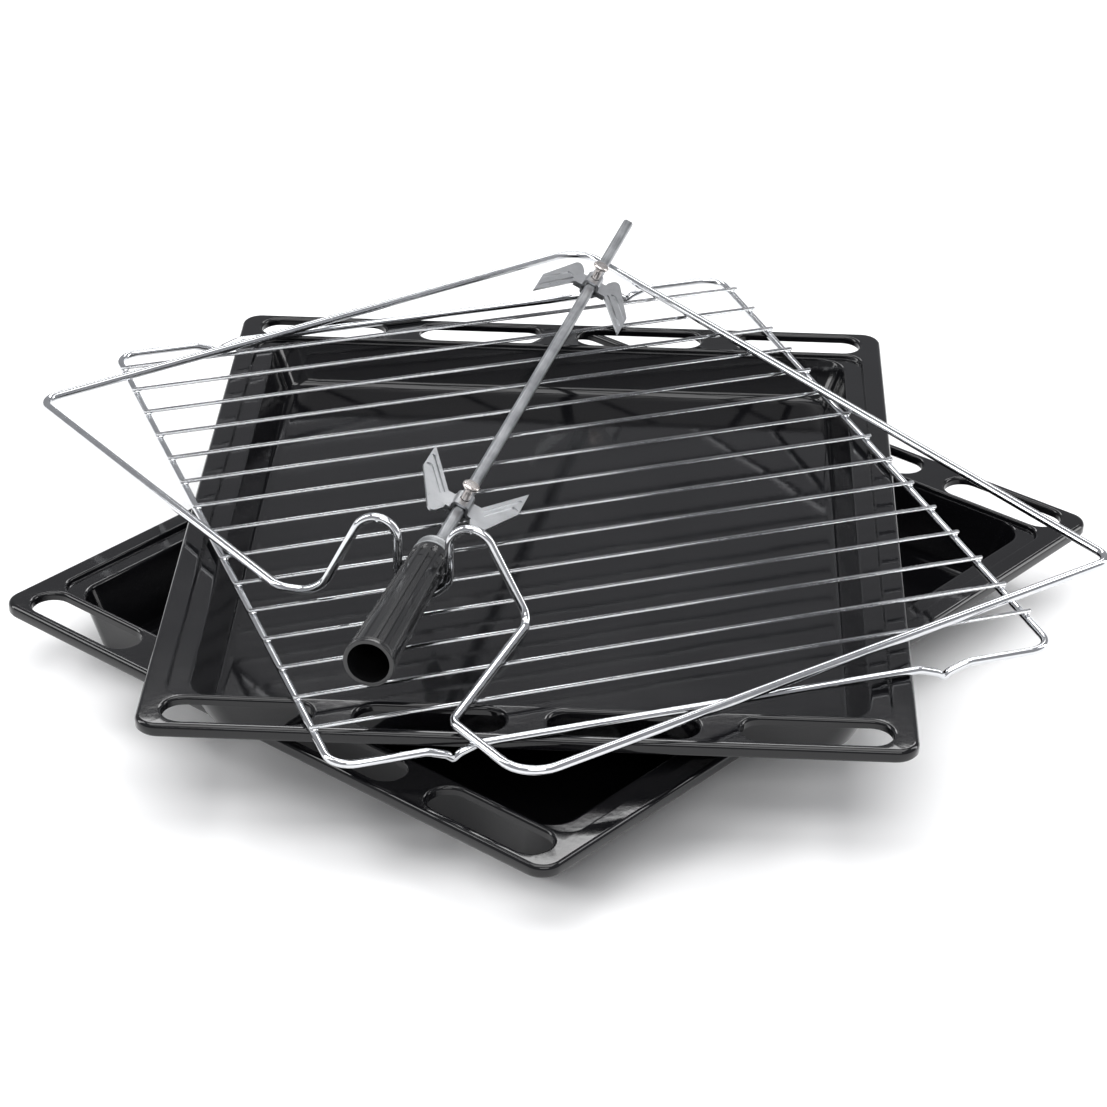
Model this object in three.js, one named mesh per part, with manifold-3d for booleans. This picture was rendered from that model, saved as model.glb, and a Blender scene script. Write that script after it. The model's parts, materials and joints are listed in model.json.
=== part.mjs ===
// Rotisserie accessory set: two enamelled trays, a wire rack, a wire cradle and a spit with two
// forks, laid one on another. Millimetres, +Z up. X runs left to right, Y away from the front.

import * as THREE from 'three';
import { mergeVertices } from 'three/addons/utils/BufferGeometryUtils.js';
import Module from 'manifold-3d';

const wasm = await Module();
wasm.setup();

// ---------- driving dimensions ----------

const seat = 0.3; // gap left between pieces that touch

// trays (both share one plan; X is the short way)
const trayShort = 371;
const trayLong = 456;
const trayCorner = 11;
const sheet = 1.2;
const deepHeight = 40;
const shallowHeight = 27;
const lipHeight = 6.5;
const lipWidth = 4.5;
const lipRound = 1.6;
const endRim = 31; // lip edge to pan, on the slotted short sides
const sideRim = 11.5; // lip edge to the step, on the long sides
const ledgeDrop = 2.5;
const ledgeWidth = 11;
const panDraft = 9;
const panRound = 5;
const panCorner = 16;
const slotLength = 72;
const slotWidth = 21;
const slotPitch = 91.6;
const slotInset = 16; // lip edge to slot centre
const slotCollar = 4.3;
const slotsPerEnd = 4;

// rack
const rackShort = 371;
const rackOverhang = 1; // past each end of a tray, as both ride the same runners
const railRadius = 2;
const rackCorner = 12;
const barRadius = 1.05;
const barCount = 15;
const barPitch = 28.55;
const barShift = 4; // the row of bars sits off centre
const dipOffset = 125; // from the middle of the short side to each dip
const dipDepth = 6;
const dipHalfWidth = 13;

// cradle
const cradleLong = 462;
const cradleShort = 367;
const wireRadius = 2.4;
const cradleCorner = 10;
const cradleNearCorner = 18;
const notchAlong = 74.7; // notch centre, from the middle of the long side
const notchIn = 49; // notch centre, inward from that side
const notchFloor = 7.5;
const notchPlay = 0.8; // room for the handle's neck on each side
const humpHeight = 47;
const humpTop = 17.4; // along each hump's top, corner to corner
const humpRound = 10.8;
const humpSpread = 23.4; // how far each hump's outer leg slants out
const returnFoot = 172;

// spit
const spitYaw = 41; // degrees between the spit and the cradle's short sides
const tipClearance = 1; // far fork's lower blade tip above the rack bars
const barSide = 6.2;
const barTip = 474;
const barTail = 6; // bar length behind the notch, inside the handle
const tipChamfer = 1.2;
const handleFront = 12; // from the notch, toward the tip
const handleLength = 110;
const handleFrontRadius = 10;
const handleEndRadius = 12.4;
const handleWall = 2.2;
const handleWeb = 9; // solid front of the handle
const handleFacets = 16;
const ferruleLength = 8;
const ferruleRadius = 9.6;
const neckClearance = 0.4;

// forks
const nearForkAt = 73;
const farForkAt = 375;
const forkSheet = 1.4;
const forkClearance = 0.4;
const forkWidth = 14; // hub, along the bar
const wingReach = 14;
const keeperReach = 10;
const bladeRootIn = { along: 2, out: 7 };
const bladeRootOut = { along: -22, out: 12.5 };
const bladeTip = { along: 43, out: 27.5 };
const bladeShoulder = { along: 19, out: 27.5 };
const ribWidth = 3.6;
const ribHeight = 0.9;
const ribLength = 30;
const screwRadius = 2.2;
const screwTop = 11.2; // bar axis to the underside of the head
const headRadius = 4.6;
const headHeight = 3.2;

// how the stack is laid: centre and turn of each layer
const deepAt = { x: 3.4, y: -7, turn: -40 };
const shallowAt = { x: -5.1, y: -2, turn: -1.7 };
const rackAt = { x: -2.4, y: 13, turn: 19.4 };
const cradleAt = { x: 0.4, y: 15.6, turn: -53.8 };

// ---------- materials ----------

const enamel = { color: 0x1b1b1d, roughness: 0.25, metalness: 0.1 };
const chrome = { color: 0xd6d8da, roughness: 0.15, metalness: 1 };
const steel = { color: 0xa9abad, roughness: 0.4, metalness: 1 };
const nickel = { color: 0xc9b9ae, roughness: 0.25, metalness: 1 };
const phenolic = { color: 0x111112, roughness: 0.25, metalness: 0 };

// ---------- solids ----------

const group = new THREE.Group();
const radians = THREE.MathUtils.degToRad;

function solid(geometry) {
  const bare = geometry.clone();
  bare.deleteAttribute('normal');
  bare.deleteAttribute('uv');
  const merged = mergeVertices(bare, 1e-4);
  return new wasm.Manifold(new wasm.Mesh({
    numProp: 3,
    vertProperties: new Float32Array(merged.attributes.position.array),
    triVerts: new Uint32Array(merged.index.array),
  }));
}

function geometryOf(manifold) {
  const mesh = manifold.getMesh();
  const geometry = new THREE.BufferGeometry();
  geometry.setAttribute('position', new THREE.BufferAttribute(mesh.vertProperties, 3));
  geometry.setIndex(new THREE.BufferAttribute(mesh.triVerts, 1));
  return geometry;
}

const join = (solids) => solids.reduce((sum, next) => sum.add(next));
const cut = (body, tools) => body.subtract(join(tools));

function place(parent, name, geometry, finish) {
  const mesh = new THREE.Mesh(geometry, new THREE.MeshStandardMaterial(finish));
  mesh.name = name;
  parent.add(mesh);
  return mesh;
}

function layer(parent, at, z) {
  const frame = new THREE.Group();
  frame.position.set(at.x, at.y, z);
  frame.rotation.z = radians(at.turn);
  parent.add(frame);
  return frame;
}

function roundedRectangle(halfX, halfY, radius) {
  const shape = new THREE.Shape();
  shape.absarc(halfX - radius, halfY - radius, radius, 0, Math.PI / 2);
  shape.absarc(radius - halfX, halfY - radius, radius, Math.PI / 2, Math.PI);
  shape.absarc(radius - halfX, radius - halfY, radius, Math.PI, 1.5 * Math.PI);
  shape.absarc(halfX - radius, radius - halfY, radius, 1.5 * Math.PI, 2 * Math.PI);
  return shape;
}

// A rounded block whose sides step inward by levels[i].inset at height levels[i].z.
function block(halfX, halfY, radius, levels) {
  const steps = levels.length - 1;
  const geometry = new THREE.ExtrudeGeometry(roundedRectangle(halfX, halfY, radius), {
    depth: steps,
    steps,
    bevelEnabled: false,
    curveSegments: 5,
  });
  const position = geometry.attributes.position;
  for (let i = 0; i < position.count; i += 1) {
    const level = levels[Math.round(position.getZ(i))];
    position.setX(i, position.getX(i) - Math.sign(position.getX(i)) * level.inset);
    position.setY(i, position.getY(i) - Math.sign(position.getY(i)) * level.inset);
    position.setZ(i, level.z);
  }
  return solid(geometry);
}

const straight = (bottom, top) => [{ z: bottom, inset: 0 }, { z: top, inset: 0 }];

// ---------- bent wire ----------

// A polyline as a curve: one sample per point, with the tangent that halves each bend.
class WirePath extends THREE.Curve {
  constructor(points) {
    super();
    this.points = points;
  }

  at(index) {
    const count = this.points.length;
    return this.points[((index % count) + count) % count];
  }

  getPointAt(u) {
    return this.at(Math.round(u * this.points.length)).clone();
  }

  getTangentAt(u) {
    const index = Math.round(u * this.points.length);
    const before = this.at(index).clone().sub(this.at(index - 1)).normalize();
    const after = this.at(index + 1).clone().sub(this.at(index)).normalize();
    return before.add(after).normalize();
  }
}

// Rounds every corner of a closed polygon with its own radius.
function roundCorners(corners) {
  const points = [];
  corners.forEach(({ p, r }, i) => {
    const previous = corners[(i + corners.length - 1) % corners.length].p;
    const next = corners[(i + 1) % corners.length].p;
    const into = p.clone().sub(previous).normalize();
    const out = next.clone().sub(p).normalize();
    const turn = into.angleTo(out);
    const reach = r * Math.tan(turn / 2);
    const axis = into.clone().cross(out).normalize();
    const start = p.clone().addScaledVector(into, -reach);
    const centre = start.clone().addScaledVector(axis.clone().cross(into), r);
    const steps = Math.max(1, Math.ceil(turn / radians(16)));
    for (let k = 0; k <= steps; k += 1) {
      points.push(start.clone().sub(centre).applyAxisAngle(axis, (turn * k) / steps).add(centre));
    }
  });
  return points;
}

function closedWire(corners, radius) {
  const path = new WirePath(roundCorners(corners));
  const tube = new THREE.TubeGeometry(path, path.points.length, radius, 8, true);
  return geometryOf(solid(tube));
}

// ---------- trays ----------

function tray(height) {
  const halfX = trayShort / 2;
  const halfY = trayLong / 2;
  const ledgeX = halfX - sideRim;
  const panX = ledgeX - ledgeWidth;
  const panY = halfY - endRim;
  const under = height - sheet;
  const skirt = block(halfX, halfY, trayCorner, [
    { z: height - lipHeight, inset: lipRound },
    { z: height - lipHeight + lipRound, inset: 0 },
    { z: height - lipRound, inset: 0 },
    { z: height, inset: lipRound },
  ]);
  const innerX = halfX - lipWidth;
  const innerY = halfY - lipWidth;
  const hollow = block(innerX, innerY, trayCorner - 2, straight(height - lipHeight - 1, under));
  const wall = (grow, floor, top) => block(panX + grow, panY + grow, panCorner + grow, [
    { z: floor, inset: panDraft + panRound },
    { z: floor + panRound, inset: panDraft },
    { z: top, inset: 0 },
  ]);
  const ledge = (grow, bottom, top) => block(
    ledgeX + grow,
    panY + 1 + grow,
    trayCorner + grow,
    straight(bottom, top),
  );
  const slots = [];
  const collars = [];
  for (let end = -1; end <= 1; end += 2) {
    for (let i = 0; i < slotsPerEnd; i += 1) {
      const x = (i - (slotsPerEnd - 1) / 2) * slotPitch;
      const y = end * (halfY - slotInset);
      const stadium = (grow, bottom, top) => block(
        slotLength / 2 + grow,
        slotWidth / 2 + grow,
        slotWidth / 2 + grow - 0.2,
        straight(bottom, top),
      ).translate(x, y, 0);
      collars.push(stadium(sheet, height - slotCollar, height - sheet / 2));
      slots.push(stadium(0, height - lipHeight - 1, height + 1));
    }
  }
  const rim = cut(skirt, [hollow]);
  const outside = join([
    rim,
    wall(sheet, 0, height - sheet / 2 + 0.01),
    ledge(sheet, height - ledgeDrop - sheet, height - sheet / 2),
    ...collars,
  ]);
  return geometryOf(cut(outside, [
    wall(0, sheet, height + 1),
    ledge(0, height - ledgeDrop, height + 1),
    ...slots,
  ]));
}

const deepLayer = layer(group, deepAt, 0);
place(deepLayer, 'deep_tray', tray(deepHeight), enamel);

const shallowZ = deepHeight + seat;
const shallowLayer = layer(group, shallowAt, shallowZ);
place(shallowLayer, 'baking_tray', tray(shallowHeight), enamel);

// ---------- rack ----------

const railZ = shallowZ + shallowHeight + seat + railRadius;
const rackLayer = layer(group, rackAt, railZ);
const rackLong = trayLong + 2 * rackOverhang;
const railX = rackShort / 2 - railRadius;
const railY = rackLong / 2 - railRadius;

// One short side of the frame, left to right, with its two dips.
function rackSide(y, direction) {
  const corner = (x, z, r) => ({ p: new THREE.Vector3(direction * x, y, z), r });
  const dip = (x) => [
    corner(x - dipHalfWidth, 0, 8),
    corner(x, -dipDepth, 2.5),
    corner(x + dipHalfWidth, 0, 8),
  ];
  return [
    corner(-railX, 0, rackCorner),
    ...dip(-dipOffset),
    ...dip(dipOffset),
    corner(railX, 0, rackCorner),
  ];
}

const rackFrame = closedWire([...rackSide(-railY, 1), ...rackSide(railY, -1)], railRadius);
place(rackLayer, 'rack_frame', rackFrame, chrome);

const barZ = railRadius + seat + barRadius;
for (let i = 0; i < barCount; i += 1) {
  const bar = new THREE.CylinderGeometry(barRadius, barRadius, rackShort + 2, 8);
  const name = `rack_bar_${String(i + 1).padStart(2, '0')}`;
  const mesh = place(rackLayer, name, bar, chrome);
  mesh.rotation.z = Math.PI / 2;
  mesh.position.set(0, barShift + (i - (barCount - 1) / 2) * barPitch, barZ);
}

// ---------- cradle ----------

const cradleZ = railZ + barZ + barRadius + seat + wireRadius;
const cradleLayer = layer(group, cradleAt, cradleZ);
const sideX = cradleLong / 2;
const sideY = cradleShort / 2;
const yaw = radians(spitYaw);
const notch = new THREE.Vector3(notchAlong, notchIn - sideY, 0);

const notchReach = handleFrontRadius + wireRadius + notchPlay;
const humpShoulder = notchReach + humpTop;
const humpFoot = humpShoulder + humpSpread;

// A point of the support's upright plane: along it from the notch, and up.
function support(along, up) {
  return notch.clone().add(new THREE.Vector3(along * Math.cos(yaw), along * Math.sin(yaw), up));
}

const supportStart = notch.clone();
supportStart.x -= notchIn / Math.tan(yaw);
supportStart.y = -sideY;

const cradle = closedWire([
  { p: new THREE.Vector3(-sideX, -sideY, 0), r: cradleCorner },
  { p: supportStart, r: 14 },
  { p: support(-humpFoot, 0), r: 16 },
  { p: support(-humpShoulder, humpHeight), r: humpRound },
  { p: support(-notchReach, humpHeight), r: humpRound },
  { p: support(-notchReach, notchFloor), r: notchReach - 0.1 },
  { p: support(notchReach, notchFloor), r: notchReach - 0.1 },
  { p: support(notchReach, humpHeight), r: humpRound },
  { p: support(humpShoulder, humpHeight), r: humpRound },
  { p: support(humpFoot, 0), r: 8 },
  { p: new THREE.Vector3(returnFoot, -sideY, 0), r: 8 },
  { p: new THREE.Vector3(sideX, -sideY, 0), r: cradleNearCorner },
  { p: new THREE.Vector3(sideX, sideY, 0), r: cradleCorner },
  { p: new THREE.Vector3(-sideX, sideY, 0), r: cradleNearCorner },
], wireRadius);
place(cradleLayer, 'spit_cradle', cradle, chrome);

// ---------- spit ----------

const taper = (handleEndRadius - handleFrontRadius) / handleLength;
const neckRadius = handleFrontRadius + taper * (handleFront + wireRadius);
const neckHeight = notchFloor + wireRadius + neckClearance + neckRadius;
const barRest = barSide / Math.SQRT2 + wireRadius + seat;
const crossing = (cradleShort - notchIn) / Math.cos(yaw);
const pitch = Math.atan((neckHeight - barRest) / crossing);

// The spit leans until the lower tip of the far fork is just above the bars of the rack.
const tipDrop = (farForkAt - bladeTip.along) * Math.sin(pitch);
const tipRoom = neckHeight + wireRadius + seat - tipDrop - forkSheet / 2 - tipClearance;
const roll = Math.asin(tipRoom / bladeTip.out);

// Inside the spit's frame X runs toward the tip and Z along the fork screws.
const spitLayer = new THREE.Group();
spitLayer.position.copy(notch).setZ(neckHeight);
spitLayer.rotation.set(roll, pitch, Math.PI / 2 + yaw, 'ZYX');
cradleLayer.add(spitLayer);

function alongX(geometry) {
  return geometry.rotateZ(-Math.PI / 2);
}

const barShape = new THREE.Shape();
const barCore = barSide / 2 - tipChamfer;
barShape.moveTo(-barCore, -barCore);
barShape.lineTo(barCore, -barCore);
barShape.lineTo(barCore, barCore);
barShape.lineTo(-barCore, barCore);
barShape.closePath();
const spitBar = new THREE.ExtrudeGeometry(barShape, {
  depth: barTip + barTail - 2 * tipChamfer,
  bevelThickness: tipChamfer,
  bevelSize: tipChamfer,
  bevelSegments: 1,
});
spitBar.rotateY(Math.PI / 2);
place(spitLayer, 'spit_rod', geometryOf(solid(spitBar)), steel).position.x = tipChamfer - barTail;

const bore = barSide / Math.SQRT2 + forkClearance;
const handleBack = handleFront - handleLength;
const grip = new THREE.LatheGeometry([
  new THREE.Vector2(bore, handleFront - handleWeb),
  new THREE.Vector2(handleEndRadius - handleWall, handleFront - handleWeb - 4),
  new THREE.Vector2(handleEndRadius - handleWall, handleBack),
  new THREE.Vector2(handleEndRadius, handleBack),
  new THREE.Vector2(handleFrontRadius, handleFront),
  new THREE.Vector2(bore, handleFront),
  new THREE.Vector2(bore, handleFront - handleWeb),
], handleFacets);
place(spitLayer, 'handle_grip', geometryOf(solid(alongX(grip))), phenolic);

const ferruleBack = handleFront + seat;
const ferrule = new THREE.LatheGeometry([
  new THREE.Vector2(bore, ferruleBack),
  new THREE.Vector2(ferruleRadius, ferruleBack),
  new THREE.Vector2(ferruleRadius, ferruleBack + ferruleLength - 2),
  new THREE.Vector2(ferruleRadius - 2, ferruleBack + ferruleLength),
  new THREE.Vector2(bore, ferruleBack + ferruleLength),
  new THREE.Vector2(bore, ferruleBack),
], handleFacets);
place(spitLayer, 'handle_ferrule', geometryOf(solid(alongX(ferrule))), steel);

// ---------- forks ----------

// A folded strip that straddles the bar, extruded along it; side is +1 above the bar, -1 below.
function strap(reach, side) {
  const inner = barSide / 2 + forkClearance;
  const outer = inner + forkSheet;
  const low = side > 0 ? -forkSheet / 2 : forkSheet / 2 + seat;
  const high = low + forkSheet;
  const outline = [
    [-reach, low], [-inner, low], [-inner, inner], [inner, inner], [inner, low], [reach, low],
    [reach, high], [outer, high], [outer, outer], [-outer, outer], [-outer, high], [-reach, high],
  ];
  const shape = new THREE.Shape(outline.map(([y, z]) => new THREE.Vector2(y, side * z)));
  const strip = new THREE.ExtrudeGeometry(shape, { depth: forkWidth, bevelEnabled: false });
  strip.translate(0, 0, -forkWidth / 2);
  strip.rotateY(Math.PI / 2);
  strip.rotateX(Math.PI / 2);
  return solid(strip);
}

function blade(side) {
  const corners = [bladeRootOut, bladeRootIn, bladeTip, bladeShoulder];
  const shape = new THREE.Shape(corners.map(({ along, out }) => (
    new THREE.Vector2(along, side * out)
  )));
  const plate = new THREE.ExtrudeGeometry(shape, { depth: forkSheet, bevelEnabled: false });
  plate.translate(0, 0, -forkSheet / 2);
  const midAlong = (bladeRootIn.along + bladeShoulder.along) / 2;
  const midOut = (bladeRootOut.out + bladeTip.out) / 2;
  const slope = Math.atan2(bladeTip.out - bladeRootIn.out, bladeTip.along - bladeRootIn.along);
  const rib = new THREE.BoxGeometry(ribLength, ribWidth, ribHeight + forkSheet / 2);
  rib.translate(0, 0, (ribHeight + forkSheet / 2) / 2);
  rib.rotateZ(side * slope);
  rib.translate(midAlong, side * midOut, 0);
  return solid(plate).add(solid(rib));
}

// facing is +1 when the blades point toward the spit's tip, -1 when toward the handle.
function fork(name, at, facing) {
  const frame = new THREE.Group();
  frame.position.x = at;
  frame.rotation.z = facing > 0 ? 0 : Math.PI;
  spitLayer.add(frame);

  const hole = new THREE.CylinderGeometry(screwRadius + forkClearance, screwRadius + forkClearance,
    barSide, 16);
  hole.rotateX(Math.PI / 2);
  hole.translate(0, 0, barSide);
  const plate = cut(join([strap(wingReach, 1), blade(1), blade(-1)]), [solid(hole)]);
  place(frame, `${name}_plate`, geometryOf(plate), steel);
  place(frame, `${name}_keeper`, geometryOf(strap(keeperReach, -1)), steel);

  const screw = new THREE.LatheGeometry([
    new THREE.Vector2(0, barSide / 2 + seat),
    new THREE.Vector2(screwRadius, barSide / 2 + seat),
    new THREE.Vector2(screwRadius, screwTop),
    new THREE.Vector2(headRadius - 0.6, screwTop),
    new THREE.Vector2(headRadius, screwTop + 0.8),
    new THREE.Vector2(headRadius, screwTop + headHeight - 0.8),
    new THREE.Vector2(headRadius - 0.8, screwTop + headHeight),
    new THREE.Vector2(0, screwTop + headHeight),
  ], 16);
  place(frame, `${name}_screw`, geometryOf(solid(screw.rotateX(Math.PI / 2))), nickel);
}

fork('near_fork', nearForkAt, 1);
fork('far_fork', farForkAt, -1);

// ---------- centre the set over the origin ----------

const bounds = new THREE.Box3().setFromObject(group, true);
const middle = bounds.getCenter(new THREE.Vector3());
group.position.set(-middle.x, -middle.y, -bounds.min.z);

export default group;
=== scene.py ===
"""A rotisserie accessory set for a built-in oven, laid out as a stack: two enamelled trays, a wire
rack, a wire cradle, and a square spit with two forks and a hollow handle.

Everything is in metres. Z is up, Y runs away from the front, and the stack stands on Z = 0.
"""

import json
from math import atan2, cos, pi, radians, sin, tan

import bmesh
import bpy
from mathutils import Matrix, Vector


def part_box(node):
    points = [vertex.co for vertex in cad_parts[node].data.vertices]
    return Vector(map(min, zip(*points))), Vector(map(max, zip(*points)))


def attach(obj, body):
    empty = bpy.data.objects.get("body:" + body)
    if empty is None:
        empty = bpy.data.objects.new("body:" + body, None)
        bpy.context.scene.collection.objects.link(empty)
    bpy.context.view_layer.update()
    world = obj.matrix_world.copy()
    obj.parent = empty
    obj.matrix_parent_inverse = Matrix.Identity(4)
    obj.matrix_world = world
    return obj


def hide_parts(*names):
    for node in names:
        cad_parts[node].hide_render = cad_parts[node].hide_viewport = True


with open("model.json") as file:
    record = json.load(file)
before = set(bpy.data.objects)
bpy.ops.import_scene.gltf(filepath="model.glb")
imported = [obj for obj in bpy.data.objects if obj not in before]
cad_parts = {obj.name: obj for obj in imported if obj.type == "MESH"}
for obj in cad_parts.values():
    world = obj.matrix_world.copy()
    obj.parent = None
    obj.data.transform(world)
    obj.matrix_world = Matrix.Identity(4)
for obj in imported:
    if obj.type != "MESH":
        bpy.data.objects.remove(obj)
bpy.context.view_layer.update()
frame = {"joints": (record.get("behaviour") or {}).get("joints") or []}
joints = {joint["name"]: joint for joint in frame["joints"]}
scene = bpy.context.scene

# ---------- camera ----------
# A long lens a little above the front of the stack, tilted down at it and turned about one degree.

camera_data = bpy.data.cameras.new("camera")
camera_data.lens = 112.1
camera_data.sensor_width = 36
camera = bpy.data.objects.new("camera", camera_data)
camera.location = (-0.0028, -1.621, 0.9287)
camera.rotation_mode = "ZYX"
camera.rotation_euler = (radians(90 - 29.077), 0, radians(1.129))
scene.collection.objects.link(camera)
scene.camera = camera

# ---------- floor and light ----------
# A plain white sheet, one broad soft light overhead, and long soft boxes at the sides and back
# that draw the bright lines along the wires. The room lights them dimly, though it looks pale.


def linear(code, alpha=1.0):
    """An sRGB hex colour as the linear numbers that a shader takes."""
    parts = [int(code[i : i + 2], 16) / 255 for i in (1, 3, 5)]
    return [p / 12.92 if p <= 0.04045 else ((p + 0.055) / 1.055) ** 2.4 for p in parts] + [alpha]


def add(tree, kind, inputs=None, **settings):
    """Adds a node with its settings, and links or sets its inputs."""
    node = tree.nodes.new(kind)
    for name, value in settings.items():
        setattr(node, name, value)
    for socket, value in (inputs or {}).items():
        if isinstance(value, bpy.types.NodeSocket):
            tree.links.new(value, node.inputs[socket])
        else:
            node.inputs[socket].default_value = value
    return node


def new_material(name):
    """A material with only its output, and its node tree."""
    material = bpy.data.materials.new(name)
    material.use_nodes = True
    material.node_tree.nodes.clear()
    return material, material.node_tree


white_paper, tree = new_material("white_paper")
shader = add(tree, "ShaderNodeBsdfPrincipled", {"Base Color": linear("#f7f7f7"), "Roughness": 0.9})
add(tree, "ShaderNodeOutputMaterial", {"Surface": shader.outputs[0]})

bpy.ops.mesh.primitive_plane_add(size=14, location=(0, 2, -0.0004))
floor = bpy.context.object
floor.name = "floor"
floor.data.materials.append(white_paper)

world = bpy.data.worlds.new("room")
scene.world = world
world.use_nodes = True
world.node_tree.nodes.clear()
tree = world.node_tree
dim = add(tree, "ShaderNodeBackground", {"Color": linear("#c9cace"), "Strength": 0.6})
pale = add(tree, "ShaderNodeBackground", {"Color": linear("#f4f4f5"), "Strength": 1.0})
sight = add(tree, "ShaderNodeLightPath")
both = add(
    tree,
    "ShaderNodeMixShader",
    {0: sight.outputs["Is Camera Ray"], 1: dim.outputs[0], 2: pale.outputs[0]},
)
add(tree, "ShaderNodeOutputWorld", {"Surface": both.outputs[0]})


def soft_box(name, place, size, watts):
    """A rectangular light that faces the middle of the stack."""
    light = bpy.data.lights.new(name, "AREA")
    light.shape = "RECTANGLE"
    light.size, light.size_y = size
    light.energy = watts
    holder = bpy.data.objects.new(name, light)
    holder.location = place
    holder.rotation_euler = (-Vector(place)).to_track_quat("-Z", "Y").to_euler()
    scene.collection.objects.link(holder)


soft_box("overhead", (0, -0.2, 2.4), (2.6, 2.0), 52)
soft_box("left_strip", (-2.1, 0.2, 1.3), (0.7, 2.0), 26)
soft_box("right_strip", (2.1, 0.5, 1.1), (0.6, 2.0), 20)
soft_box("front_fill", (0.3, -2.3, 1.9), (1.8, 0.9), 18)
soft_box("back_strip", (0.2, 2.2, 1.9), (2.2, 0.35), 16)

scene.view_settings.view_transform = "Standard"

# ---------- enamelled trays ----------
# Two trays pressed from steel sheet and coated with black vitreous enamel. The rim is rolled over
# all round, the short ends have four hand slots each with turned-down edges, and a ledge runs down
# each long side.

sheet = 0.0012
tray_half = Vector((0.18546, 0.22796))
tray_corner = 0.011
lip_height = 0.0065
lip_roll = 0.0024
lip_tuck = 0.0007
lip_tuck_height = 0.0012
end_rim = 0.031
side_rim = 0.0115
rim_edge_round = 0.0014
step_slope = radians(70)
step_run = 0.0004
ledge_foot_round = 0.0010
ledge_drop = 0.0025
ledge_width = 0.011
end_ledge_width = 0.001
end_spread = 0.2  # how far the rounds above the pan's wall spread at the ends, against the sides
pan_draft = 0.009
pan_brow_round = 0.0024
pan_floor_round = 0.006
pan_floor_reach = 0.6  # the share of the floor's round that lies inside the foot of the wall
pan_corner = 0.016
slot_half = Vector((0.036, 0.0105))
slot_end = 0.99  # the slot's ends are all but half round
slot_pitch = 0.0916
slot_inset = 0.016
slot_collar = 0.0043
slot_roll = 0.0018

enamel, tree = new_material("black_vitreous_enamel")
# Glass fused to steel: almost black, very glossy, with the faint orange peel of a fired coat
# about 4 mm across, and broad patches where it has been wiped.
place = add(tree, "ShaderNodeTexCoord").outputs["Object"]
peel = add(tree, "ShaderNodeTexNoise", {"Vector": place, "Scale": 240.0, "Detail": 2.0})
wave = add(tree, "ShaderNodeTexNoise", {"Vector": place, "Scale": 14.0, "Detail": 1.0})
patch = add(tree, "ShaderNodeTexNoise", {"Vector": place, "Scale": 22.0, "Detail": 4.0})
gloss = add(tree, "ShaderNodeMapRange", {"Value": patch.outputs[0], "To Min": 0.05, "To Max": 0.13})
tone = add(
    tree,
    "ShaderNodeMix",
    {"Factor": patch.outputs[0], "A": linear("#08080a"), "B": linear("#121214")},
    data_type="RGBA",
)
soft = add(tree, "ShaderNodeBump", {"Height": wave.outputs[0], "Strength": 0.25, "Distance": 0.002})
fine = add(
    tree,
    "ShaderNodeBump",
    {"Height": peel.outputs[0], "Strength": 0.06, "Distance": 0.0004, "Normal": soft.outputs[0]},
)
shader = add(
    tree,
    "ShaderNodeBsdfPrincipled",
    {
        "Base Color": tone.outputs["Result"],
        "Roughness": gloss.outputs[0],
        "IOR": 1.45,
        "Normal": fine.outputs[0],
    },
)
add(tree, "ShaderNodeOutputMaterial", {"Surface": shader.outputs[0]})


def sweep(steps):
    """Even fractions from 0 to 1, with both ends."""
    return [step / steps for step in range(steps + 1)]


def rounded_loop(half_x, half_y, radius, z, at=(0, 0)):
    """The points of a rectangle with round corners, anticlockwise from above."""
    points = []
    for quarter, (sx, sy) in enumerate(((1, 1), (-1, 1), (-1, -1), (1, -1))):
        for part in sweep(9):
            angle = (quarter + part) * pi / 2
            x = sx * (half_x - radius) + radius * cos(angle)
            y = sy * (half_y - radius) + radius * sin(angle)
            points.append((at[0] + x, at[1] + y, z))
    return points


def lip_loops(height):
    """The rolled lip, from its hidden edge up and over to the flat rim."""
    loops = []
    for inset, rise in ((lip_tuck, 0.0), (0.0, lip_tuck_height)):
        z = height - lip_height + rise
        loops.append(rounded_loop(tray_half.x - inset, tray_half.y - inset, tray_corner, z))
    for part in sweep(6):
        angle = part * pi / 2
        inset = lip_roll * (1 - cos(angle))
        z = height - lip_roll * (1 - sin(angle))
        loops.append(rounded_loop(tray_half.x - inset, tray_half.y - inset, tray_corner - inset, z))
    return loops


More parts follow.
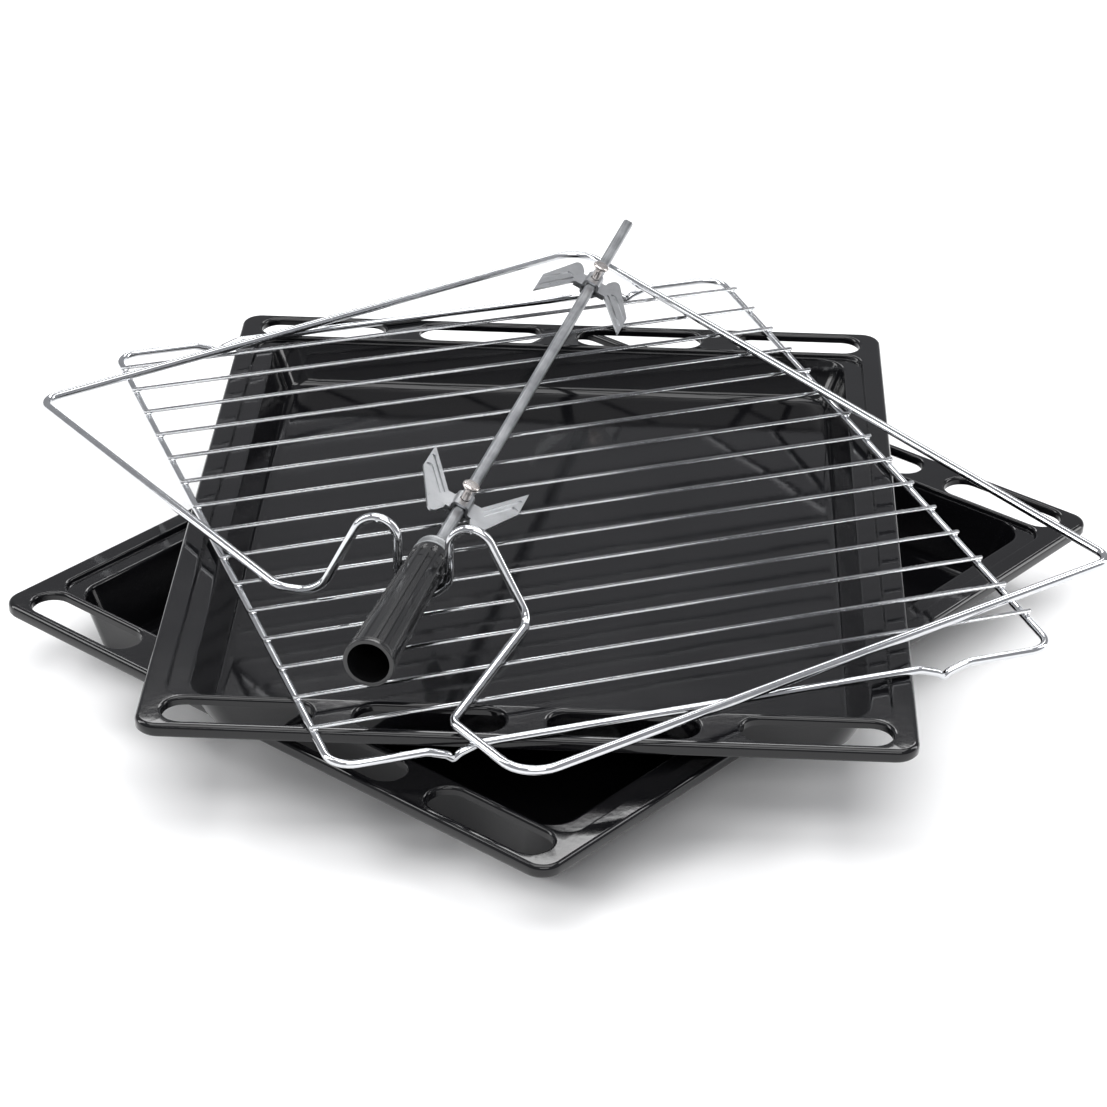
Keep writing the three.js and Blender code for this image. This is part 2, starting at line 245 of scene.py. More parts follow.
def well_loops(height):
    """From the rim's inner edge to the floor of the pan."""
    ledge = tray_half - Vector((side_rim, end_rim - end_ledge_width))
    pan = Vector((ledge.x - ledge_width, tray_half.y - end_rim))
    loops = []
    # down the step to the ledge; at the ends the step runs straight on into the wall of the pan
    for part in sweep(4):
        angle = part * step_slope
        inset = rim_edge_round * (sin(angle) - sin(step_slope))
        z = height - rim_edge_round * (1 - cos(angle))
        loops.append(rounded_loop(ledge.x - inset, ledge.y - inset, tray_corner, z))
    for part in sweep(4):
        angle = (1 - part) * step_slope
        inset = step_run + ledge_foot_round * (sin(step_slope) - sin(angle))
        z = height - ledge_drop + ledge_foot_round * (1 - cos(angle))
        loops.append(rounded_loop(ledge.x - inset, ledge.y - end_spread * inset, tray_corner, z))
    # over the brow of the pan, down its drafted wall and round into its floor
    wall_top = height - ledge_drop
    lean = pan_draft / (wall_top - sheet)
    for part in sweep(5):
        angle = part * (pi / 2 - lean)
        inset = pan_brow_round * (sin(angle) - 1)
        z = wall_top - pan_brow_round * (1 - cos(angle))
        loops.append(rounded_loop(pan.x - inset, pan.y - end_spread * inset, pan_corner, z))
    for part in sweep(6):
        angle = (pi / 2 - lean) * (1 - part)
        inset = pan_draft + pan_floor_round * (pan_floor_reach - sin(angle))
        z = sheet + pan_floor_round * (1 - cos(angle))
        loops.append(rounded_loop(pan.x - inset, pan.y - inset, pan_corner, z))
    return loops


def slot_loops(height, at):
    """The edge of a hand slot, rolled over and turned down."""
    loops = []
    for part in sweep(5):
        angle = part * pi / 2
        grow = slot_roll * (1 - sin(angle))
        drop = slot_roll * (1 - cos(angle))
        half_y = slot_half.y + grow
        loops.append(rounded_loop(slot_half.x + grow, half_y, half_y * slot_end, height - drop, at))
    half_y = slot_half.y
    loops.append(rounded_loop(slot_half.x, half_y, half_y * slot_end, height - slot_collar, at))
    return loops


def loft(mesh, loops):
    """Joins each loop of points to the next with a band of faces."""
    rows = [[mesh.verts.new(point) for point in loop] for loop in loops]
    for outer, inner in zip(rows, rows[1:]):
        for i in range(len(outer)):
            j = (i + 1) % len(outer)
            mesh.faces.new((outer[i], outer[j], inner[j], inner[i]))
    return rows


def close_rim(mesh, outer, inner, height):
    """The flat rim from lip to well: plain along the sides, and round four slots at each end."""
    ends = {-1: [], 1: []}
    for i in range(len(outer)):
        j = (i + 1) % len(outer)
        if abs(outer[i].co.y - outer[j].co.y) > tray_half.y:
            mesh.faces.new((outer[i], outer[j], inner[j], inner[i]))
        else:
            end = 1 if outer[i].co.y > 0 else -1
            ends[end] += [mesh.edges.get((outer[i], outer[j])), mesh.edges.get((inner[i], inner[j]))]
    for a, b in zip(outer, inner):
        if mesh.edges.get((a, b)):
            ends[1 if a.co.y > 0 else -1].append(mesh.edges.get((a, b)))
    for end, border in ends.items():
        for number in range(4):
            at = ((number - 1.5) * slot_pitch, end * (tray_half.y - slot_inset))
            top = loft(mesh, slot_loops(height, at))[0]
            border += [mesh.edges.get((a, b)) for a, b in zip(top, top[1:] + top[:1])]
        filled = bmesh.ops.triangle_fill(mesh, edges=border, use_beauty=True)
        for face in filled["geom"]:
            if isinstance(face, bmesh.types.BMFace) and face.normal.z < 0:
                face.normal_flip()


def apply_modifier(piece, kind, **settings):
    """Adds a modifier and applies it at once."""
    modifier = piece.modifiers.new(kind.lower(), kind)
    for name, value in settings.items():
        setattr(modifier, name, value)
    bpy.context.view_layer.objects.active = piece
    bpy.ops.object.modifier_apply(modifier=modifier.name)


def smooth(piece, degrees):
    """Shades a piece smooth, apart from edges that turn by more than the angle."""
    bpy.ops.object.select_all(action="DESELECT")
    bpy.context.view_layer.objects.active = piece
    piece.select_set(True)
    bpy.ops.object.shade_smooth_by_angle(angle=radians(degrees))


def put(piece, matrix):
    """Moves a finished mesh to its place, and leaves its object at the origin."""
    piece.data.transform(matrix)
    piece.data.update()


def press_tray(name, node, turn):
    """A tray as tall as its node and in its place, turned by so many degrees."""
    low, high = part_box(node)
    height = high.z - low.z
    mesh = bmesh.new()
    lip = loft(mesh, lip_loops(height))
    well = loft(mesh, well_loops(height))
    mesh.faces.new(well[-1])
    close_rim(mesh, lip[-1], well[0], height)
    piece = bpy.data.objects.new(name, bpy.data.meshes.new(name))
    mesh.to_mesh(piece.data)
    mesh.free()
    scene.collection.objects.link(piece)
    apply_modifier(
        piece, "SOLIDIFY", thickness=sheet, offset=-1, use_even_offset=True, use_quality_normals=True
    )
    smooth(piece, 50)
    apply_modifier(piece, "WEIGHTED_NORMAL", weight=80, keep_sharp=True)
    piece.data.materials.append(enamel)
    middle = (low + high) / 2
    put(piece, Matrix.Translation((middle.x, middle.y, low.z)) @ Matrix.Rotation(radians(turn), 4, "Z"))
    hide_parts(node)
    return piece


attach(press_tray("deep_pan", "deep_tray", -40), "lower_tray")
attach(press_tray("shallow_pan", "baking_tray", -1.7), "upper_tray")

# ---------- rack ----------
# A frame of 4 mm steel wire bent round and dipped twice at each short end, with fifteen thinner
# wires laid across it and spot-welded, then chromed all over.

rail_radius = 0.002
rack_turn = 19.4
rack_half = Vector((0.1855 - rail_radius, 0.229 - rail_radius))
rack_corner = 0.012
dip_offset = 0.125
dip_depth = 0.006
dip_half = 0.013
dip_waist_half = 0.0035
dip_waist_depth = 0.55 * dip_depth
cross_wires = 15
cross_radius = 0.00105
cross_half = 0.1862
cross_end_round = 0.0006
weld_half = Vector((0.0021, 0.0019, 0.00105))
weld_sink = 0.0002
same_point = 1e-5  # points nearer than this are one point

chrome, tree = new_material("chrome_plate")
# Bright chrome on drawn wire: a mirror with a faint ripple about 2 mm across and slightly duller
# patches about 6 mm across.
place = add(tree, "ShaderNodeTexCoord").outputs["Object"]
dull = add(tree, "ShaderNodeTexNoise", {"Vector": place, "Scale": 160.0, "Detail": 3.0})
gloss = add(tree, "ShaderNodeMapRange", {"Value": dull.outputs[0], "To Min": 0.06, "To Max": 0.15})
tone = add(
    tree,
    "ShaderNodeMix",
    {"Factor": dull.outputs[0], "A": linear("#c9cbce"), "B": linear("#dfe0e2")},
    data_type="RGBA",
)
ripple = add(tree, "ShaderNodeTexNoise", {"Vector": place, "Scale": 420.0, "Detail": 2.0})
bump = add(tree, "ShaderNodeBump", {"Height": ripple.outputs[0], "Strength": 0.03, "Distance": 0.0002})
shader = add(
    tree,
    "ShaderNodeBsdfPrincipled",
    {
        "Base Color": tone.outputs["Result"],
        "Metallic": 1.0,
        "Roughness": gloss.outputs[0],
        "Normal": bump.outputs[0],
    },
)
add(tree, "ShaderNodeOutputMaterial", {"Surface": shader.outputs[0]})


def start_mesh(name):
    """Opens an empty mesh object at the origin for editing."""
    bpy.ops.object.select_all(action="DESELECT")
    bpy.ops.mesh.primitive_plane_add(size=0.01)
    piece = bpy.context.object
    piece.name = name
    bpy.ops.object.mode_set(mode="EDIT")
    bpy.ops.mesh.select_mode(type="VERT")
    bpy.ops.mesh.delete(type="VERT")
    return piece


def select_edges(piece, wanted):
    """Selects only the edges of the open mesh whose two ends pass the test."""
    bpy.ops.object.mode_set(mode="OBJECT")
    mesh = piece.data
    mesh.polygons.foreach_set("select", [False] * len(mesh.polygons))
    mesh.vertices.foreach_set("select", [False] * len(mesh.vertices))
    for edge in mesh.edges:
        edge.select = wanted(*(mesh.vertices[i].co for i in edge.vertices))
    bpy.ops.object.mode_set(mode="EDIT")
    bpy.ops.mesh.select_mode(type="EDGE")


def select_near(piece, points):
    """Selects only the vertices of the open mesh that lie at the given points."""
    bpy.ops.mesh.select_mode(type="VERT")
    bpy.ops.mesh.select_all(action="DESELECT")
    bpy.ops.object.mode_set(mode="OBJECT")
    for vertex in piece.data.vertices:
        vertex.select = any((vertex.co - point).length < same_point for point in points)
    bpy.ops.object.mode_set(mode="EDIT")


def draw_line(piece, corners, closed):
    """Draws corner after corner in the open mesh, then rounds each to its own bend radius."""
    # a tiny plane merged to its middle is the first point
    bpy.ops.mesh.primitive_plane_add(size=0.0002, location=corners[0][0])
    bpy.ops.mesh.merge(type="CENTER")
    for (here, _), (there, _) in zip(corners, corners[1:]):
        move = Vector(there) - Vector(here)
        bpy.ops.mesh.extrude_region_move(TRANSFORM_OT_translate={"value": move})
    if closed:
        select_near(piece, [Vector(corners[0][0]), Vector(corners[-1][0])])
        bpy.ops.mesh.edge_face_add()
    for i, (point, radius) in enumerate(corners):
        if not radius:
            continue
        into = Vector(point) - Vector(corners[i - 1][0])
        out = Vector(corners[(i + 1) % len(corners)][0]) - Vector(point)
        select_near(piece, [Vector(point)])
        reach = radius * tan(into.angle(out) / 2)
        bpy.ops.mesh.bevel(offset=reach, segments=8, affect="VERTICES")


def bend_wire(name, corners, radius, closed=True):
    """A round wire along a line of corners."""
    piece = start_mesh(name)
    draw_line(piece, corners, closed)
    bpy.ops.object.mode_set(mode="OBJECT")
    bpy.ops.object.convert(target="CURVE")
    piece = bpy.context.object
    piece.data.bevel_depth = radius
    piece.data.bevel_resolution = 6
    piece.data.use_fill_caps = not closed
    bpy.ops.object.convert(target="MESH")
    piece = bpy.context.object
    piece.name = name
    bpy.ops.object.shade_smooth()
    return piece


def rack_end(side):
    """One short end of the frame with its two dips, right to left or left to right."""
    y = side * rack_half.y
    run = -side
    corners = [((-run * rack_half.x, y, 0), rack_corner)]
    for x in (-run * dip_offset, run * dip_offset):
        corners += [
            ((x - run * dip_half, y, 0), 0.010),
            ((x - run * dip_waist_half, y, -dip_waist_depth), 0.006),
            ((x, y, -dip_depth), 0.0012),
            ((x + run * dip_waist_half, y, -dip_waist_depth), 0.006),
            ((x + run * dip_half, y, 0), 0.010),
        ]
    corners.append(((run * rack_half.x, y, 0), rack_corner))
    return corners


rack_low, rack_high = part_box("rack_frame")
rack_middle = (rack_low + rack_high) / 2
rack_place = Matrix.Translation((rack_middle.x, rack_middle.y, rack_high.z - rail_radius))
rack_place @= Matrix.Rotation(radians(rack_turn), 4, "Z")
rail = bend_wire("rack_rail", rack_end(-1) + rack_end(1), rail_radius)
rail.data.materials.append(chrome)
put(rail, rack_place)
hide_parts("rack_frame")
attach(rail, "rack")

bpy.ops.object.select_all(action="DESELECT")
bpy.ops.mesh.primitive_cylinder_add(
    vertices=16, radius=cross_radius, depth=2 * cross_half, rotation=(0, pi / 2, 0)
)
cross_wire = bpy.context.object
bpy.ops.object.transform_apply(rotation=True)
bpy.ops.object.mode_set(mode="EDIT")
select_edges(cross_wire, lambda a, b: abs(a.x - b.x) < same_point)
bpy.ops.mesh.bevel(offset=cross_end_round, segments=3)
for side in (-1, 1):
    # the blob of weld that the wire and the rail share
    bpy.ops.mesh.select_all(action="DESELECT")
    at = (side * rack_half.x, 0, -cross_radius - weld_sink)
    bpy.ops.mesh.primitive_uv_sphere_add(segments=16, ring_count=8, radius=1, location=at)
    bpy.ops.transform.resize(value=weld_half, center_override=at)
bpy.ops.object.mode_set(mode="OBJECT")
bpy.ops.object.shade_smooth()
cross_wire.data.materials.append(chrome)
for number in range(1, cross_wires + 1):
    node = f"rack_bar_{number:02d}"
    low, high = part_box(node)
    wire = cross_wire if number == cross_wires else cross_wire.copy()
    if number < cross_wires:
        wire.data = cross_wire.data.copy()
        scene.collection.objects.link(wire)
    wire.name = f"cross_wire_{number:02d}"
    put(wire, Matrix.Translation((low + high) / 2) @ Matrix.Rotation(radians(rack_turn), 4, "Z"))
    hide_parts(node)
    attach(wire, "rack")

# ---------- cradle ----------
# One length of 4.7 mm chromed wire bent into a rectangle. On one side it turns in and stands up as
# two humps with a notch between them, where the neck of the spit's handle lies.

cradle_turn = -53.8
cradle_wire = 0.00235
cradle_half = Vector((0.231, 0.1835))
spit_yaw = radians(41)
notch_inset = 0.049
notch = Vector((0.0747, notch_inset - cradle_half.y, 0))
notch_half = 0.0132
notch_floor = 0.0075
notch_bend = 0.0131
hump_top = 0.0466
hump_shoulder = 0.0306
hump_bend = 0.0108
hump_foot = 0.054
turn_in = notch.x - notch_inset / tan(spit_yaw)
turn_out = 0.172
butt_weld_at = 0.005
butt_weld_bead = 0.0003


def support(along, up):
    """A point of the upright part, measured along it from the notch and up."""
    return notch + Vector((along * cos(spit_yaw), along * sin(spit_yaw), up))


cradle_corners = [
    ((-cradle_half.x, -cradle_half.y, 0), 0.010),
    ((turn_in, -cradle_half.y, 0), 0.014),
    (support(-hump_foot, 0), 0.016),
    (support(-hump_shoulder, hump_top), hump_bend),
    (support(-notch_half, hump_top), hump_bend),
    (support(-notch_half, notch_floor), notch_bend),
    (support(notch_half, notch_floor), notch_bend),
    (support(notch_half, hump_top), hump_bend),
    (support(hump_shoulder, hump_top), hump_bend),
    (support(hump_foot, 0), 0.008),
    ((turn_out, -cradle_half.y, 0), 0.008),
    ((cradle_half.x, -cradle_half.y, 0), 0.018),
    ((cradle_half.x, cradle_half.y, 0), 0.010),
    ((-cradle_half.x, cradle_half.y, 0), 0.018),
]
low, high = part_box("spit_cradle")
middle = (low + high) / 2
cradle = bend_wire("cradle_wire", cradle_corners, cradle_wire)
bpy.ops.object.mode_set(mode="EDIT")
bpy.ops.mesh.select_all(action="DESELECT")
# the ring of the butt weld that closes the wire
bpy.ops.mesh.primitive_torus_add(
    location=(-cradle_half.x, butt_weld_at, 0),
    rotation=(pi / 2, 0, 0),
    major_segments=24,
    minor_segments=8,
    major_radius=cradle_wire - 0.0001,
    minor_radius=butt_weld_bead,
)
bpy.ops.object.mode_set(mode="OBJECT")
bpy.ops.object.shade_smooth()
cradle.data.materials.append(chrome)
put(
    cradle,
    Matrix.Translation((middle.x, middle.y, low.z + cradle_wire))
    @ Matrix.Rotation(radians(cradle_turn), 4, "Z"),
)
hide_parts("spit_cradle")
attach(cradle, "cradle")

# ---------- spit bar ----------
# A plain square bar of satin stainless steel, drawn to size, with its corners just broken and its
# ends chamfered. In the spit's own frame X runs from the notch to the tip, and Z runs along the
# fork screws.

spit_x = Vector(joints["spit_turn"]["axis"]).normalized()
spit_z = Vector(joints["near_screw_turn"]["axis"]).normalized()
spit_y = spit_z.cross(spit_x)
spit_at = Vector(joints["spit_turn"]["pos_m"])
spit_place = Matrix((spit_x, spit_y, spit_z)).transposed().to_4x4()
spit_place.translation = spit_at
bar_side = 0.0062
bar_tip = 0.474
bar_tail = 0.006
bar_middle = ((bar_tip - bar_tail) / 2, 0, 0)
end_chamfer = 0.0011
edge_break = 0.0005


def steel(name, dark, light, rough, stretch, grain, depth):
    """A steel with a grain of the given width, stretched along the spit, between two tones and two
    roughnesses. Depth is the strength of its bump."""
    material, tree = new_material(name)
    place = add(tree, "ShaderNodeTexCoord").outputs["Object"]
    along = add(
        tree,
        "ShaderNodeMapping",
        {
            "Vector": place,
            "Location": spit_at,
            "Rotation": spit_place.to_euler(),
            "Scale": (stretch, 1, 1),
        },
        vector_type="TEXTURE",
    )
    lines = add(
        tree, "ShaderNodeTexNoise", {"Vector": along.outputs[0], "Scale": 0.5 / grain, "Detail": 4.0}
    )
    blotch = add(tree, "ShaderNodeTexNoise", {"Vector": place, "Scale": 90.0, "Detail": 3.0})
    mixed = add(tree, "ShaderNodeMath", {0: lines.outputs[0], 1: blotch.outputs[0]}, operation="ADD")
    half = add(tree, "ShaderNodeMath", {0: mixed.outputs[0], 1: 0.5}, operation="MULTIPLY")
    spread = add(
        tree, "ShaderNodeMapRange", {"Value": half.outputs[0], "From Min": 0.35, "From Max": 0.65}
    )
    tone = add(
        tree,
        "ShaderNodeMix",
        {"Factor": spread.outputs[0], "A": linear(dark), "B": linear(light)},
        data_type="RGBA",
    )
    gloss = add(
        tree,
        "ShaderNodeMapRange",
        {"Value": spread.outputs[0], "To Min": rough[0], "To Max": rough[1]},
    )
    bump = add(
        tree, "ShaderNodeBump", {"Height": lines.outputs[0], "Strength": depth, "Distance": 0.0003}
    )
    shader = add(
        tree,
        "ShaderNodeBsdfPrincipled",
        {
            "Base Color": tone.outputs["Result"],
            "Metallic": 1.0,
            "Roughness": gloss.outputs[0],
            "Normal": bump.outputs[0],
        },
    )
    add(tree, "ShaderNodeOutputMaterial", {"Surface": shader.outputs[0]})
    return material


# Drawn stainless bar: mid grey, satin, with long lines about 0.4 mm wide.
satin_steel = steel("drawn_stainless", "#8f9194", "#b4b6b8", (0.32, 0.45), 30, 0.0004, 0.2)

bpy.ops.object.select_all(action="DESELECT")
bpy.ops.mesh.primitive_cube_add(size=1, location=bar_middle)
bar = bpy.context.object
bar.name = "spit_bar"
bpy.ops.object.mode_set(mode="EDIT")
bpy.ops.transform.resize(value=(bar_tip + bar_tail, bar_side, bar_side), center_override=bar_middle)
bpy.ops.object.mode_set(mode="OBJECT")
bpy.ops.object.transform_apply(location=True)
bpy.ops.object.mode_set(mode="EDIT")
select_edges(bar, lambda a, b: abs(a.x - b.x) < same_point)
bpy.ops.mesh.bevel(offset=end_chamfer, segments=1)
select_edges(bar, lambda a, b: abs(a.x - b.x) > bar_side)
bpy.ops.mesh.bevel(offset=edge_break, segments=3)
bpy.ops.object.mode_set(mode="OBJECT")
smooth(bar, 10)
bar.data.materials.append(satin_steel)
put(bar, spit_place)
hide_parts("spit_rod")
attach(bar, "spit")

# ---------- handle ----------
# A hollow, slightly tapered handle of black phenolic, moulded with twelve shallow flutes that
# start in a round end behind the collar, and a plain bead round its open end.

handle_front = 0.012
handle_length = 0.110
handle_back = handle_front - handle_length
front_radius = 0.010
back_radius = 0.0124
handle_wall = 0.0022
taper = (back_radius - front_radius) / handle_length
bore = bar_side / 2**0.5 + 0.0004
bore_depth = 0.009
hollow_depth = 0.013
flutes = 12
flute_front = handle_front - 0.0045
flute_back = handle_back + 0.0034
flute_half_angle = 0.155  # in radians, at the axis
flute_depth = 0.0009
flute_round_end = 0.004
flute_run_out = 0.0008

phenolic, tree = new_material("black_phenolic")
# Moulded phenolic: black and glossy, with the fine grain of its wood-flour filler under the skin.
place = add(tree, "ShaderNodeTexCoord").outputs["Object"]
flour = add(tree, "ShaderNodeTexNoise", {"Vector": place, "Scale": 900.0, "Detail": 4.0})
smear = add(tree, "ShaderNodeTexNoise", {"Vector": place, "Scale": 70.0, "Detail": 3.0})
tone = add(
    tree,
    "ShaderNodeMix",
    {"Factor": flour.outputs[0], "A": linear("#0b0b0c"), "B": linear("#1b1b1c")},
    data_type="RGBA",
)
gloss = add(tree, "ShaderNodeMapRange", {"Value": smear.outputs[0], "To Min": 0.14, "To Max": 0.2})
bump = add(tree, "ShaderNodeBump", {"Height": smear.outputs[0], "Strength": 0.03, "Distance": 0.0006})
shader = add(
    tree,
    "ShaderNodeBsdfPrincipled",
    {
        "Base Color": tone.outputs["Result"],
        "Roughness": gloss.outputs[0],
        "IOR": 1.6,
        "Normal": bump.outputs[0],
    },
)
add(tree, "ShaderNodeOutputMaterial", {"Surface": shader.outputs[0]})


def turn_on_axis(name, profile, steps, closed=True, axis="X"):
    """A turned piece: a profile of (along, out, bend radius) spun round the X or Z axis."""
    piece = start_mesh(name)
    if axis == "X":
        corners = [((along, 0, out), bend) for along, out, bend in profile]
        spin_axis = (1, 0, 0)
    else:
        corners = [((out, 0, along), bend) for along, out, bend in profile]
        spin_axis = (0, 0, 1)
    draw_line(piece, corners, closed)
    bpy.ops.mesh.select_all(action="SELECT")
    bpy.ops.mesh.spin(steps=steps, angle=2 * pi, center=(0, 0, 0), axis=spin_axis)
    bpy.ops.mesh.select_all(action="SELECT")
    bpy.ops.mesh.remove_doubles(threshold=same_point)
    bpy.ops.mesh.normals_make_consistent(inside=False)
    bpy.ops.object.mode_set(mode="OBJECT")
    smooth(piece, 35)
    return piece


# rings of points along the flutes, close together where these start and end
stations = [flute_front - 0.0004 * step for step in range(13)]
stations += [flute_front - 0.010 - 0.010 * step for step in range(8)]
stations += [flute_back + 0.0004 * step for step in range(8, -1, -1)]
handle = turn_on_axis(
    "handle",
    [
        (handle_front, bore, 0.0004),
        (handle_front - bore_depth, bore, 0.0),
        (handle_front - hollow_depth, back_radius - handle_wall - 0.0006, 0.002),
        (handle_back, back_radius - handle_wall, 0.0003),
        (handle_back, back_radius, 0.0005),
        (handle_back + 0.0022, back_radius, 0.0006),
        (handle_back + 0.0030, back_radius - 0.0003, 0.0008),
        *[(x, front_radius + taper * (handle_front - x), 0.0) for x in reversed(stations)],
        (handle_front, front_radius, 0.0008),
    ],
    144,
)
# the flutes are flats sunk into the outside, with a round end in front; the first ring of the
# hollow's long wall is drawn in beneath them
pitch = 2 * pi / flutes
unfluted = front_radius - 0.0004
for vertex in handle.data.vertices:
    x = vertex.co.x
    out = Vector(vertex.co.yz).length
    if not flute_back <= x <= flute_front or out < unfluted:
        continue
    run_in = min((flute_front - x) / flute_round_end, 1)
    half_angle = flute_half_angle * (1 - (1 - run_in) ** 2) ** 0.5
    turned = (atan2(vertex.co.z, vertex.co.y) + pitch / 2) % pitch - pitch / 2
    if abs(turned) < half_angle:
        sink = flute_depth * min(1, run_in * 3, (x - flute_back) / flute_run_out)
        flat = min(1, (1 - sink / out) / cos(turned))
        vertex.co.y *= flat
        vertex.co.z *= flat
smooth(handle, 30)
handle.data.materials.append(phenolic)
put(handle, spit_place)
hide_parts("handle_grip")
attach(handle, "handle")

# ---------- handle collar ----------
# A spun steel collar that closes the front of the handle, sand-dull, with a rolled edge at each end
# and a slightly hollow waist.

collar_radius = 0.0096
collar_back = handle_front + 0.0003
dull_steel = steel("blasted_steel", "#8b8d8f", "#a9abac", (0.38, 0.55), 1, 0.0002, 0.3)
collar = turn_on_axis(
    "collar",
    [
        (collar_back, bore, 0),
        (collar_back, collar_radius + 0.0004, 0.0005),
        (collar_back + 0.0016, collar_radius + 0.0004, 0.0008),
        (collar_back + 0.0030, collar_radius - 0.0003, 0.002),
        (collar_back + 0.0060, collar_radius - 0.0004, 0.002),
        (collar_back + 0.0068, collar_radius, 0.0006),
        (collar_back + 0.0080, collar_radius - 0.0001, 0.0006),
        (collar_back + 0.0080, bore, 0),
    ],
    96,
)
collar.data.materials.append(dull_steel)
put(collar, spit_place)
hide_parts("handle_ferrule")
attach(collar, "handle")

# ---------- forks ----------
# Two forks stamped from stainless sheet. Each plate is folded over the bar and spreads into two
# pointed blades with pressed channels. A second folded strip, the keeper, closes round the bar
# from below, and a screw through the top clamps both to the bar.

fork_sheet = 0.0014
fork_play = 0.0004
hub_width = 0.014
plate_wing = 0.014
keeper_wing = 0.010
bar_face = bar_side / 2 + fork_play  # where the folds' inner faces stand
fold = bar_face + fork_sheet / 2  # and the middle of their sheet
keeper_drop = fork_sheet + 0.0003
hole_radius = 0.0026
hole_height = 0.0062
root_in = Vector((0.002, 0.007))
root_out = Vector((-0.022, 0.0125))
blade_waist = Vector((-0.010, 0.0075))
tip = Vector((0.043, 0.0275))
shoulder = Vector((0.019, 0.0275))
# a narrow deep channel by the blade's inner edge, and a wide shallow one beside it, each as its
# distance from the edge, its start and stop along it, its half width and its depth
blade_channels = ((0.0030, 0.0035, 0.0365, 0.0008, 0.0011), (0.0070, 0.0010, 0.0275, 0.0018, 0.0008))
screw_foot = bar_side / 2 + 0.0003
screw_top = 0.0112
shank_radius = 0.0022
head_radius = 0.0046

stamped_steel = steel("stamped_stainless", "#b4b6b8", "#c6c7c9", (0.27, 0.33), 1, 0.0002, 0.02)

nickel, tree = new_material("warm_nickel_plate")
# Nickel plate over brass: a warm, slightly pink mirror that has dulled unevenly.
place = add(tree, "ShaderNodeTexCoord").outputs["Object"]
tarnish = add(tree, "ShaderNodeTexNoise", {"Vector": place, "Scale": 160.0, "Detail": 2.0})
tone = add(
    tree,
    "ShaderNodeMix",
    {"Factor": tarnish.outputs[0], "A": linear("#b9aea8"), "B": linear("#d9d6d4")},
    data_type="RGBA",
)
gloss = add(tree, "ShaderNodeMapRange", {"Value": tarnish.outputs[0], "To Min": 0.12, "To Max": 0.34})
bump = add(tree, "ShaderNodeBump", {"Height": tarnish.outputs[0], "Strength": 0.03, "Distance": 0.0002})
shader = add(
    tree,
    "ShaderNodeBsdfPrincipled",
    {
        "Base Color": tone.outputs["Result"],
        "Metallic": 1.0,
        "Roughness": gloss.outputs[0],
        "Normal": bump.outputs[0],
    },
)
add(tree, "ShaderNodeOutputMaterial", {"Surface": shader.outputs[0]})


def fold_strip(name, corners, width):
    """A strip of sheet folded along a line of corners in the YZ plane, as wide as given along X."""
    piece = start_mesh(name)
    draw_line(piece, [((-width / 2, y, z), bend) for y, z, bend in corners], False)
    bpy.ops.mesh.select_all(action="SELECT")
    bpy.ops.mesh.extrude_region_move(TRANSFORM_OT_translate={"value": (width, 0, 0)})
    bpy.ops.mesh.select_all(action="SELECT")
    bpy.ops.mesh.normals_make_consistent(inside=False)
    bpy.ops.object.mode_set(mode="OBJECT")
    apply_modifier(piece, "SOLIDIFY", thickness=fork_sheet, offset=0, use_even_offset=True)
    return piece


def flat_blank(name, outline, low, high):
    """A flat plate between two heights, from corners (x, y, bend radius)."""
    piece = start_mesh(name)
    draw_line(piece, [((x, y, low), radius) for x, y, radius in outline], True)
    bpy.ops.mesh.select_all(action="SELECT")
    bpy.ops.mesh.edge_face_add()
    bpy.ops.mesh.extrude_region_move(TRANSFORM_OT_translate={"value": (0, 0, high - low)})
    bpy.ops.mesh.select_all(action="SELECT")
    bpy.ops.mesh.normals_make_consistent(inside=False)
    bpy.ops.object.mode_set(mode="OBJECT")
    return piece


def join_or_cut(piece, tool, operation):
    """Adds a tool to a piece or cuts it away, and removes the tool."""
    apply_modifier(piece, "BOOLEAN", object=tool, operation=operation, solver="EXACT")
    bpy.data.objects.remove(tool)


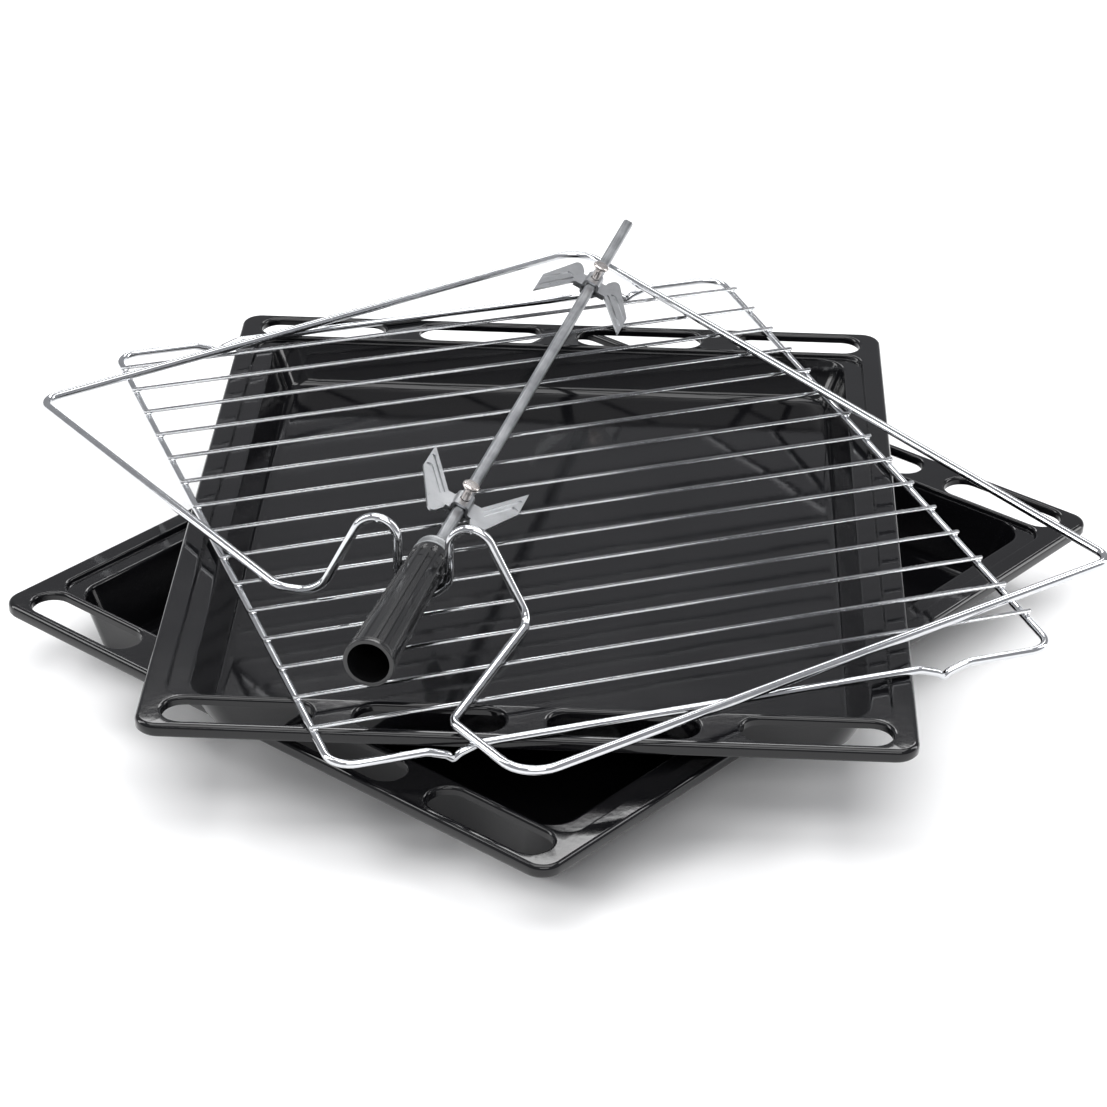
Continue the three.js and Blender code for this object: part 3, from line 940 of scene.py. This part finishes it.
def fork_plate(name):
    """The folded plate with its two blades, their channels and the screw's hole."""
    blade_run = (tip - root_in).normalized()
    across = Vector((-blade_run.y, blade_run.x))
    face = fork_sheet / 2
    shy = 0.00005  # the blade is this much inside the plate's faces, so that the two join cleanly
    plate = fold_strip(
        name,
        [
            (-plate_wing, 0, 0),
            (-fold, 0, 0.0014),
            (-fold, fold, 0.0018),
            (fold, fold, 0.0018),
            (fold, 0, 0.0014),
            (plate_wing, 0, 0),
        ],
        hub_width,
    )
    for side in (-1, 1):
        outline = [
            (root_out.x, side * root_out.y, 0.003),
            (blade_waist.x, side * blade_waist.y, 0.004),
            (root_in.x, side * root_in.y, 0.001),
            (tip.x, side * tip.y, 0.0),
            (shoulder.x, side * shoulder.y, 0.001),
        ]
        blade = flat_blank("blade", outline, shy - face, face - shy)
        join_or_cut(plate, blade, "UNION")
        for offset, start, stop, half, depth in blade_channels:
            a = root_in + across * offset + blade_run * start
            b = root_in + across * offset + blade_run * stop
            wide = across * half
            corners = (a - wide, b - wide, b + wide, a + wide)
            groove = flat_blank(
                "channel",
                [(corner.x, side * corner.y, half * 0.8) for corner in corners],
                face - depth,
                face + 0.001,
            )
            join_or_cut(plate, groove, "DIFFERENCE")
    bpy.ops.object.select_all(action="DESELECT")
    bpy.ops.mesh.primitive_cylinder_add(
        vertices=32, radius=hole_radius, depth=0.006, location=(0, 0, hole_height)
    )
    join_or_cut(plate, bpy.context.object, "DIFFERENCE")
    smooth(plate, 25)
    return plate


for side, facing in (("near", 1), ("far", -1)):
    hub = Vector(joints[f"{side}_screw_turn"]["pos_m"])
    along = (hub - spit_at).dot(spit_x)
    fork_place = spit_place @ Matrix.Translation((along, 0, 0))
    if facing < 0:
        fork_place @= Matrix.Rotation(pi, 4, "Z")
    body = f"{side}_fork"

    plate = fork_plate(f"{side}_blades")
    plate.data.materials.append(stamped_steel)
    put(plate, fork_place)
    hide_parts(f"{side}_fork_plate")
    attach(plate, body)

    keeper = fold_strip(
        f"{side}_strap",
        [
            (-keeper_wing, -keeper_drop, 0),
            (-fold, -keeper_drop, 0.0013),
            (-fold, -fold, 0.0018),
            (fold, -fold, 0.0018),
            (fold, -keeper_drop, 0.0013),
            (keeper_wing, -keeper_drop, 0),
        ],
        hub_width,
    )
    smooth(keeper, 25)
    keeper.data.materials.append(stamped_steel)
    put(keeper, fork_place)
    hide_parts(f"{side}_fork_keeper")
    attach(keeper, body)

    screw = turn_on_axis(
        f"{side}_clamp_screw",
        [
            (screw_foot, 0, 0),
            (screw_foot, shank_radius, 0.0003),
            (screw_top - 0.0006, shank_radius, 0.0008),
            (screw_top + 0.0010, 0.0040, 0.0008),
            (screw_top + 0.0014, head_radius, 0.0005),
            (screw_top + 0.0026, head_radius, 0.0007),
            (screw_top + 0.0032, 0.0039, 0.0006),
            (screw_top + 0.0032, 0, 0),
        ],
        48,
        closed=False,
        axis="Z",
    )
    screw.data.materials.append(nickel)
    put(screw, fork_place)
    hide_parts(f"{side}_fork_screw")
    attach(screw, f"{side}_screw")
